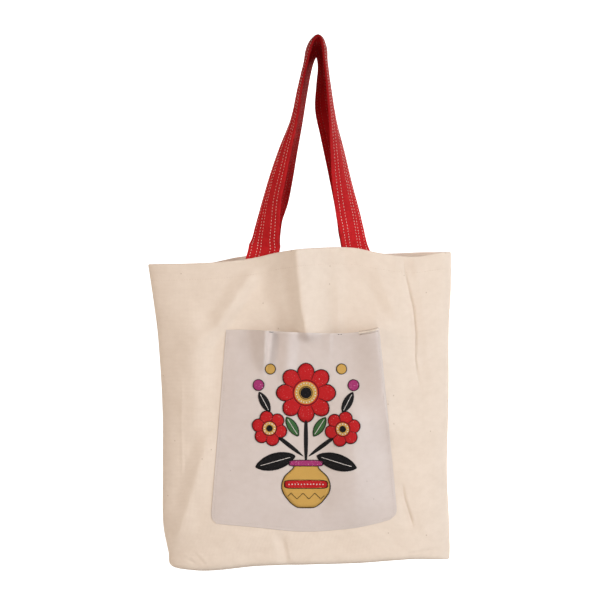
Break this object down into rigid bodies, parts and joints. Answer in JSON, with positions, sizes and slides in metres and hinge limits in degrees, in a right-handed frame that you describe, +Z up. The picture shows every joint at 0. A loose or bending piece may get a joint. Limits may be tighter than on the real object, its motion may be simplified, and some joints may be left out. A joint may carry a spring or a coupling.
{
  "type": "tote bag",
  "caption": "Cream canvas tote bag hanging by long red strap handles, with an open-topped patch pocket on its front panel.",
  "frame": {"origin": "The place under the peak of the two handles where a hook, peg or hand holds the bag.", "axes": "+Z up, +X to the right of a viewer who faces the pocket, +Y from the front panel towards the back panel."},
  "size_m": [0.3636, 0.0886, 0.6405],
  "materials": {
    "canvas": "matte plain-weave cotton canvas",
    "pocket_cloth": "smooth grey cotton",
    "strap_cloth": "red cotton with pale topstitching"
  },
  "bodies": {
    "root": {"front_panel": "canvas", "back_panel": "canvas", "front_pocket": "pocket_cloth", "front_handle": "strap_cloth", "back_handle": "strap_cloth"}
  },
  "joints": []
}
